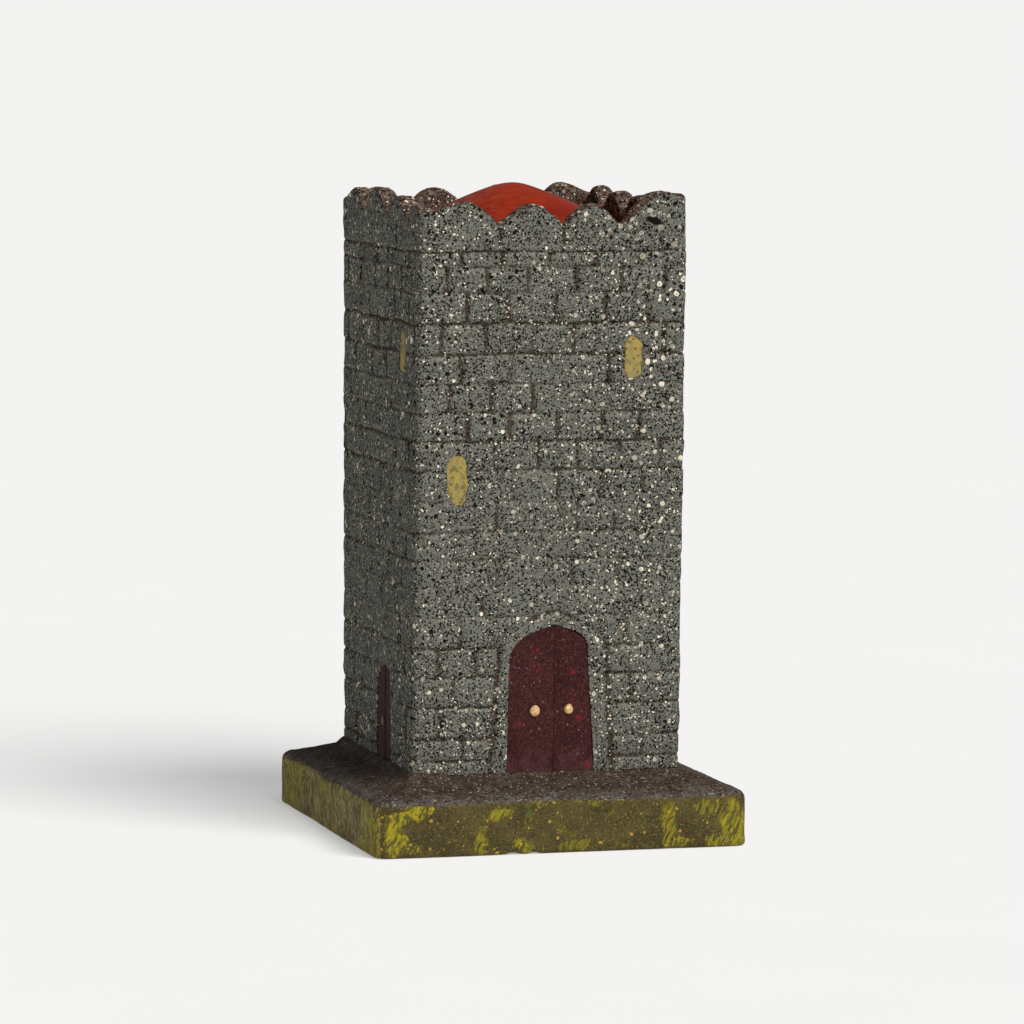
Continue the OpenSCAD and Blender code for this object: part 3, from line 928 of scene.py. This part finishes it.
def parapet_wash(p, stone):
    """Brown over the crown and inside the parapet, with a dark edge line and rusty patches."""
    edge = p.plus(p.attribute("rim"),
                  p.ramp(p.noise(0.9, 3, offset=0.9), 0.3, 0.7, -0.18, 0.18))
    # This brown is paler than the paint itself: painted light that lifts the dim inside of the
    # parapet.
    brown = p.mix(p.ramp(p.noise(0.9, 3, 0.6, offset=1.4), 0.35, 0.65), srgb(70, 58, 49),
                  srgb(118, 103, 92))
    low = p.ramp(p.axes()[2], (DECK_TOP + 4.5) * MM, (DECK_TOP + 1.5) * MM, 0.1, 0.5)
    rusty = p.times(p.ramp(p.noise(2.2, 3, 0.6, offset=1.1), 0.46, 0.6), low)
    brown = p.mix(rusty, brown, srgb(132, 68, 40))
    stone = p.mix(p.ramp(edge, 0.35, 0.75), stone, brown)
    line = p.times(p.ramp(edge, 0.12, 0.4), p.ramp(edge, 0.95, 0.6))
    return p.mix(p.times(line, 0.7), stone, srgb(46, 36, 31))


def stone_paint():
    """Grey paint spattered with black and cream, brown in the joints and over the parapet."""
    p = Paint("speckled_stone_paint")
    ragged = p.bent(0.3, 0.7)
    stone = parapet_wash(p, joint_wash(p, stone_ground(p)))
    dark = black_specks(p, ragged)
    stroke = p.patch((15.7, -HALF - 0.3, 90.1), (1.95, 1.2, 0.66), lean=20, soft=0.12,
                     place=p.bent(0.25, 0.9))
    stone = p.mix(p.most(dark, stroke), stone, srgb(20, 18, 16))
    light = p.times(cream_specks(p, ragged), p.without(stroke))
    cream = p.mix(p.noise(0.5, 2, offset=2.0), srgb(252, 244, 226), srgb(202, 184, 152))
    stone = p.mix(light, stone, cream)
    height = p.plus(p.times(p.noise(0.4, 3, 0.65), 0.7), p.times(light, 0.8))
    height = p.math("SUBTRACT", height, p.times(dark, 0.3))
    rough = p.ramp(p.noise(2.5, 2, offset=4.0), 0.3, 0.7, 0.66, 0.84)
    return p.finish(stone, rough, height, 0.05, specular=0.04)


# Yellow-green patches brushed on the plinth's front: centre x and z, half width and half height,
# lean in degrees, and strength.
FRONT_PATCHES = [(-22.3, 6.3, 3.3, 1.2, -14, 1.0), (-25.2, 3.2, 1.5, 2.9, 0, 1.0),
                 (-23.0, 2.0, 2.4, 0.8, 34, 1.0), (-9.3, 6.0, 2.0, 0.8, -18, 0.8),
                 (-12.3, 2.0, 0.9, 2.2, 0, 0.75), (-5.8, 1.4, 1.7, 1.0, 12, 0.8),
                 (-3.6, 7.2, 1.4, 0.4, 0, 0.6), (4.8, 7.2, 1.2, 0.5, 0, 0.5),
                 (2.0, 1.1, 2.6, 0.7, 0, 0.5), (15.8, 3.4, 1.1, 3.4, 0, 0.7),
                 (17.2, 1.0, 2.0, 0.8, 0, 0.75), (21.6, 6.0, 2.0, 1.2, 0, 0.55),
                 (25.8, 3.4, 2.2, 3.4, -12, 0.9), (23.2, 1.0, 2.0, 0.9, 0, 0.8)]


def moss_patches(p, facing_front):
    """Where the yellow-green brushwork lies: chosen patches in front, scattered ones around."""
    bent = p.bent(1.1, 1.7, place=p.bent(0.35, 0.5))
    front_y = -PLINTH_HIGH[1]
    chosen = p.most(*[p.times(p.patch((x, front_y, z), (w, 3.0, h), lean, 0.22, bent), strength)
                      for x, z, w, h, lean, strength in FRONT_PATCHES])
    loose = p.ramp(p.noise(8, 4, 0.6, place=p.stretched(1, 1, 0.7), offset=0.37), 0.47, 0.58,
                   0.0, 0.9)
    around = p.times(loose, p.without(facing_front))
    faint = p.ramp(p.noise(4, 4, 0.7, offset=0.61), 0.55, 0.75, 0.0, 0.5)
    return p.most(chosen, around, p.times(faint, facing_front))


def brush_strokes(p, across, along):
    """Streaks that lean and curve as they run up and down the sides, as a brush leaves them."""
    swept = p.node("ShaderNodeMapping", {"Vector": p.bent(2.2, 7), "Rotation": (0, 0.45, 0),
                                         "Scale": (1, 1, along / across)}, vector_type="TEXTURE")
    return p.noise(across, 4, 0.7, place=swept.outputs[0], offset=0.2, distort=0.3)


def plinth_side(p, normal):
    """Olive ground, mossy brushwork and ochre spatter; the left side is dry-brushed paler."""
    side = p.axes(normal)
    facing_front, facing_left = p.ramp(side[1], -0.5, -0.85), p.ramp(side[0], -0.45, -0.8)
    fine, broad = brush_strokes(p, 0.4, 3.0), brush_strokes(p, 1.3, 6.0)
    olive = p.mix(p.ramp(p.noise(3, 4, 0.6), 0.35, 0.65), srgb(64, 54, 30), srgb(82, 73, 38))
    mottle = p.ramp(p.noise(0.3, 3, 0.7, offset=0.9), 0.5, 0.64, 0.0, 0.8)
    olive = p.mix(mottle, olive, srgb(42, 34, 21))
    pale = p.ramp(p.noise(0.26, 3, 0.7, offset=1.9), 0.53, 0.66, 0.0, 0.7)
    olive = p.mix(pale, olive, srgb(112, 104, 52))
    olive = p.mix(p.times(facing_left, 0.4), olive, srgb(112, 98, 62))
    streaks = p.ramp(p.plus(fine, p.times(broad, 0.8)), 0.88, 0.98)
    olive = p.mix(p.times(streaks, p.times(facing_left, 0.9)), olive, srgb(158, 146, 78))
    dry = p.ramp(fine, 0.4, 0.56, 0.15, 1.0)
    moss = p.mix(p.ramp(fine, 0.42, 0.6), srgb(98, 96, 28), srgb(156, 144, 24))
    olive = p.mix(p.times(p.times(moss_patches(p, facing_front), dry), 0.9), olive, moss)
    drops = p.most(p.spots(0.7, 0.12, 0.3, 0.8, place=p.bent(0.15, 0.4), offset=0.041,
                           edge=0.3),
                   p.spots(1.7, 0.1, 0.28, 0.95, place=p.bent(0.3, 0.6), offset=0.057,
                           edge=0.15))
    drops = p.times(drops, p.ramp(facing_front, 0.0, 1.0, 0.3, 1.0))
    ochre = p.mix(p.noise(0.9, 2, offset=0.3), srgb(148, 116, 30), srgb(184, 152, 66))
    olive = p.mix(p.times(drops, 0.85), olive, ochre)
    green_dot = p.patch((-5.1, -PLINTH_HIGH[1], 6.0), (0.5, 1.2, 0.55), soft=0.2)
    return p.mix(p.times(green_dot, 0.7), olive, srgb(66, 84, 40)), drops


def plinth_top(p):
    """Dark brown ground with fine black and pinkish flecks, and grey spatter along its edge."""
    ragged = p.bent(0.3, 0.8)
    earth = p.mix(p.ramp(p.noise(2.4, 4, 0.6), 0.35, 0.65), srgb(56, 44, 36), srgb(76, 64, 54))
    half_x, half_y, _high = PLINTH_HIGH
    shares = (1 / (half_x * MM), 1 / (half_y * MM), 0)
    middle = p.node("ShaderNodeMapping", {"Vector": p.bent(1.5, 3.0), "Scale": shares})
    away = p.axes(p.node("ShaderNodeVectorMath", {0: middle.outputs[0]},
                         operation="ABSOLUTE").outputs[0])
    rim = p.times(p.ramp(p.most(away[0], away[1]), 0.86, 0.97),
                  p.ramp(p.noise(2.5, 3, offset=1.2), 0.35, 0.6, 0.15, 0.8))
    earth = p.mix(rim, earth, srgb(90, 85, 80))
    black = p.most(p.ramp(p.noise(0.45, 2, 0.65, offset=0.2), 0.54, 0.6),
                   p.spots(1.0, 0.12, 0.32, 0.85, place=ragged, offset=0.013, edge=0.3))
    earth = p.mix(p.times(black, 0.9), earth, srgb(28, 22, 18))
    flecks = p.most(p.ramp(p.noise(0.34, 2, 0.6, place=p.stretched(0.6, 0.6, 1), offset=0.6),
                           0.62, 0.68, 0.0, 0.8),
                    p.spots(0.75, 0.12, 0.24, 0.8, place=ragged, offset=0.021, edge=0.3))
    return p.mix(p.times(flecks, 0.8), earth, srgb(164, 146, 132))


def plinth_paint():
    """Dark speckled top; olive sides brushed and spattered with yellow."""
    p = Paint("plinth_paint")
    normal = p.node("ShaderNodeNewGeometry").outputs["Normal"]
    ragged_up = p.plus(p.axes(normal)[2], p.ramp(p.noise(0.9, 3), 0.3, 0.7, -0.15, 0.15))
    sides, drops = plinth_side(p, normal)
    colour = p.mix(p.ramp(ragged_up, 0.35, 0.6), sides, plinth_top(p))
    bump = p.plus(p.noise(0.45, 3, 0.65),
                  p.plus(p.times(drops, 0.4), p.times(brush_strokes(p, 0.4, 3.0), 0.6)))
    rough = p.ramp(p.noise(3, 2, offset=2.0), 0.3, 0.7, 0.6, 0.8)
    return p.finish(colour, rough, bump, 0.06, specular=0.15)


def dome_paint():
    """Thick orange-red gloss, drawn out in faint brush strokes, paler on the upper left as painted
    light.
    """
    p = Paint("dome_gloss_paint")
    strokes = p.noise(0.5, 4, 0.65, place=p.stretched(0.2, 0.8, 1.0), distort=0.4)
    red = p.mix(p.ramp(p.noise(6, 3, 0.5), 0.35, 0.65), srgb(124, 27, 6), srgb(142, 40, 13))
    # Paler streaks over the upper left flank: partly the paint's own brush streaks, partly painted
    # light for that flank.
    streaks_and_painted_light = p.times(p.ramp(strokes, 0.46, 0.7), p.patch((-9, -2, 95), (9, 14, 7), soft=0.6))
    red = p.mix(p.times(streaks_and_painted_light, 0.5), red, srgb(164, 84, 60))
    specks = p.spots(1.2, 0.06, 0.16, 0.4, offset=0.017, edge=0.5)
    red = p.mix(p.times(specks, 0.5), red, srgb(190, 104, 76))
    rough = p.ramp(strokes, 0.35, 0.7, 0.24, 0.36)
    bump = p.plus(strokes, p.times(p.noise(1.8, 3, offset=0.8), 0.6))
    return p.finish(red, rough, bump, 0.025, specular=0.1)


def door_paint():
    """Dark maroon, dusted with fine red and grey specks, purplish near the sill. The side door
    is darker, as painted shade on the tower's unlit left face."""
    p = Paint("door_maroon_paint")
    base = p.mix(p.ramp(p.noise(3, 4, 0.6), 0.35, 0.65), srgb(48, 25, 24), srgb(60, 31, 30))
    uneven = p.plus(p.axes()[2], p.ramp(p.noise(2), 0.3, 0.7, -2 * MM, 2 * MM))
    sill = p.ramp(uneven, (FOOT + 4) * MM, (FOOT + 0.3) * MM, 0.0, 0.7)
    base = p.mix(sill, base, srgb(78, 50, 54))
    grain = p.ramp(p.noise(0.24, 2, 0.65, offset=0.4), 0.5, 0.66, 0.0, 0.7)
    base = p.mix(grain, base, srgb(96, 56, 54))
    shade = p.ramp(p.noise(0.5, 2, offset=1.3), 0.5, 0.66, 0.0, 0.5)
    base = p.mix(shade, base, srgb(32, 18, 18))
    red = p.most(p.spots(0.8, 0.12, 0.3, 0.5, place=p.bent(0.15, 0.6), offset=0.013, edge=0.4),
                 p.spots(2.2, 0.12, 0.25, 0.6, place=p.bent(0.15, 0.6), offset=0.029, edge=0.3,
                         ring=0.8))
    base = p.mix(p.times(red, 0.6), base, srgb(134, 30, 38))
    lilac = p.spots(0.6, 0.12, 0.26, 0.6, place=p.bent(0.15, 0.4), offset=0.041, edge=0.4)
    base = p.mix(p.times(lilac, 0.6), base, srgb(130, 104, 108))
    # Painted shade: the side door, on the tower's left face away from the key light, is darkened.
    base = p.mix(p.times(p.on_left_face(), 0.45), base, srgb(36, 14, 14))
    bump = p.plus(p.noise(0.4, 3, 0.6), p.noise(1.6, 2, place=p.stretched(1, 1, 0.3)))
    return p.finish(base, 0.65, bump, 0.04, specular=0.06)


def gilt_paint():
    """Cream-gold blobs of paint, mottled with a paler gold that is partly painted highlight. The
    side door's is darkened to dull brown as painted shade on the unlit left face.
    """
    p = Paint("gilt_paint")
    # Noise mottles a darker gold with a paler one: the paint's own uneven tone, and a painted
    # highlight.
    gold = p.mix(p.ramp(p.noise(0.5, 3, 0.6), 0.35, 0.65), srgb(178, 134, 82),
                 srgb(230, 194, 142))
    # Painted shade: the knob on the tower's left face, away from the key light, is darkened to
    # dull brown.
    gold = p.mix(p.times(p.on_left_face(), 0.85), gold, srgb(82, 54, 38))
    return p.finish(gold, 0.5, p.noise(0.35, 3), 0.06, specular=0.3)


def window_paint():
    """Yellow ochre, rubbed thin so that olive and grey show through."""
    p = Paint("window_yellow_paint")
    base = p.mix(p.ramp(p.noise(1.3, 3, 0.6, place=p.stretched(1.6, 1.6, 0.6)), 0.35, 0.65),
                 srgb(160, 138, 70), srgb(140, 127, 82))
    thin = p.ramp(p.noise(0.9, 3, 0.65, offset=0.6), 0.5, 0.62, 0.0, 0.8)
    base = p.mix(thin, base, srgb(96, 90, 62))
    flecks = p.spots(0.7, 0.12, 0.4, 0.7, place=p.bent(0.25, 0.6), offset=0.019, edge=0.5)
    base = p.mix(p.times(flecks, 0.75), base, srgb(72, 64, 36))
    return p.finish(base, 0.7, p.noise(0.45, 3), 0.07, specular=0.12)


def deck_paint():
    """Flat brown wash with rust and dark flecks."""
    p = Paint("deck_brown_paint")
    base = p.mix(p.ramp(p.noise(2, 3, 0.6), 0.35, 0.65), srgb(58, 44, 36), srgb(100, 58, 36))
    flecks = p.spots(0.9, 0.12, 0.4, 0.9, place=p.bent(0.2, 0.7), edge=0.4)
    base = p.mix(p.times(flecks, 0.7), base, srgb(32, 26, 22))
    return p.finish(base, 0.75, p.noise(0.6, 3), 0.05, specular=0.15)


# ---------- putting it together ----------

TWIST = math.radians(1.9)   # turn of the crest against the foot


def twist(obj):
    """The casting is slightly wrung: it turns about its axis, more and more from the foot up."""
    mesh = obj.data
    place = np.zeros(len(mesh.vertices) * 3)
    mesh.vertices.foreach_get("co", place)
    place = place.reshape(-1, 3)
    turn = TWIST * np.clip((place[:, 2] / MM - FOOT) / (TOWER_HIGH[2] - FOOT), 0, 1)
    cos, sin = np.cos(turn), np.sin(turn)
    x, y = place[:, 0].copy(), place[:, 1].copy()
    place[:, 0], place[:, 1] = cos * x - sin * y, sin * x + cos * y
    mesh.vertices.foreach_set("co", place.ravel())
    mesh.update()


def add_piece(obj, material, slot, *nodes, wrung=True):
    """Gives a piece its material and its body, and hides the CAD nodes that it stands for; its
    slot is not used.
    """
    obj.data.materials.clear()
    obj.data.materials.append(material)
    if wrung:
        twist(obj)
    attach(obj, "root")
    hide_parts(*nodes)


def build_model():
    doors = [Door("front_door", FRONT), Door("side_door", LEFT)]
    windows = [Window(name) for name in WINDOWS]

    tower = tower_mesh()
    cut(tower, cutter(doors + windows))
    add_piece(tower, stone_paint(), "speckled_stone", "tower")
    add_piece(plinth_mesh(), plinth_paint(), "plinth_paint", "plinth", wrung=False)
    add_piece(deck_mesh(), deck_paint(), "deck_brown", "roof_deck")
    add_piece(dome_mesh(), dome_paint(), "dome_red", "roof_dome")

    maroon, gilt, yellow = door_paint(), gilt_paint(), window_paint()
    for door in doors:
        for side_name, hand in (("left", -1), ("right", 1)):
            add_piece(door_leaf(door, hand, side_name), maroon, "door_maroon",
                      f"{door.name}_{side_name}_leaf")
    for knob in KNOBS:
        add_piece(door_knob(knob), gilt, "gilt", knob)
    for window in windows:
        add_piece(window_pane(window), yellow, "window_yellow", window.name)


# ---------- floor, light and camera ----------

BACKDROP = 0.93   # brightness of the paper behind the object, to match what it stands on
GLOW = 0.38       # light that comes up through the paper
FILL = 0.14       # even light from all around


def build_floor():
    """A wide round sheet of pale paper, lit a little from below as a light table is."""
    reach, turns, just_below = 40.0 / MM, 48, -0.02
    rim = lifted(circle(reach, turns), just_below)
    floor = piece_from("studio_floor", rim, [list(range(turns))], smooth=False)
    p = Paint("studio_floor_paint")
    tone = p.mix(p.noise(40, 2), srgb(195, 195, 195), srgb(198, 198, 198))
    p.shader.inputs["Emission Color"].default_value = (1, 1, 1, 1)
    p.shader.inputs["Emission Strength"].default_value = GLOW
    floor.data.materials.append(p.finish(tone, 0.9, specular=0.05))


def sun(name, azimuth, elevation, strength, spread, colour):
    """A soft light from far away. Azimuth is in degrees from the front towards the right."""
    light = bpy.data.lights.new(name, "SUN")
    light.energy, light.angle, light.color = strength, math.radians(spread), colour
    obj = bpy.data.objects.new(name, light)
    turn, tilt = math.radians(azimuth), math.radians(elevation)
    source = Vector((math.sin(turn) * math.cos(tilt), -math.cos(turn) * math.cos(tilt),
                     math.sin(tilt)))
    obj.rotation_euler = (-source).to_track_quat("-Z", "Y").to_euler()
    SCENE.collection.objects.link(obj)


def build_lights():
    """A soft key from the front right, over even light from all around."""
    sun("key", azimuth=26, elevation=47, strength=3.5, spread=36, colour=(1.0, 0.985, 0.965))
    world = bpy.data.worlds.new("studio")
    SCENE.world = world
    world.use_nodes = True
    tree = world.node_tree
    around, seen = tree.nodes["Background"], tree.nodes.new("ShaderNodeBackground")
    around.inputs["Strength"].default_value = FILL
    seen.inputs["Strength"].default_value = BACKDROP
    for background in (around, seen):
        background.inputs["Color"].default_value = (1, 1, 1, 1)
    path, choice = tree.nodes.new("ShaderNodeLightPath"), tree.nodes.new("ShaderNodeMixShader")
    tree.links.new(path.outputs["Is Camera Ray"], choice.inputs[0])
    tree.links.new(around.outputs[0], choice.inputs[1])
    tree.links.new(seen.outputs[0], choice.inputs[2])
    tree.links.new(choice.outputs[0], tree.nodes["World Output"].inputs["Surface"])


def build_camera():
    """Looks at the tower from the front left, a little above, from far enough to be flat."""
    azimuth, elevation, roll = (math.radians(degrees) for degrees in (-15.96, 5.56, 0.4))
    distance, slide, rise = 824.6, 0.24, -3.62   # back, right and up from the target
    target = Vector((0, 0, 50))
    back = Vector((math.sin(azimuth) * math.cos(elevation),
                   -math.cos(azimuth) * math.cos(elevation), math.sin(elevation)))
    right = Vector((0, 0, 1)).cross(back).normalized()
    up = back.cross(right)
    right, up = (right * math.cos(roll) + up * math.sin(roll),
                 -right * math.sin(roll) + up * math.cos(roll))
    place = target + back * distance + right * slide + up * rise
    data = bpy.data.cameras.new("camera")
    data.lens, data.sensor_width = 196.6, 36.0
    data.clip_start, data.clip_end = 0.05, 100.0
    camera = bpy.data.objects.new("camera", data)
    camera.matrix_world = Matrix((right, up, back)).transposed().to_4x4()
    camera.location = place * MM
    SCENE.collection.objects.link(camera)
    SCENE.camera = camera


build_model()
build_floor()
build_lights()
build_camera()
SCENE.view_settings.view_transform = "Standard"
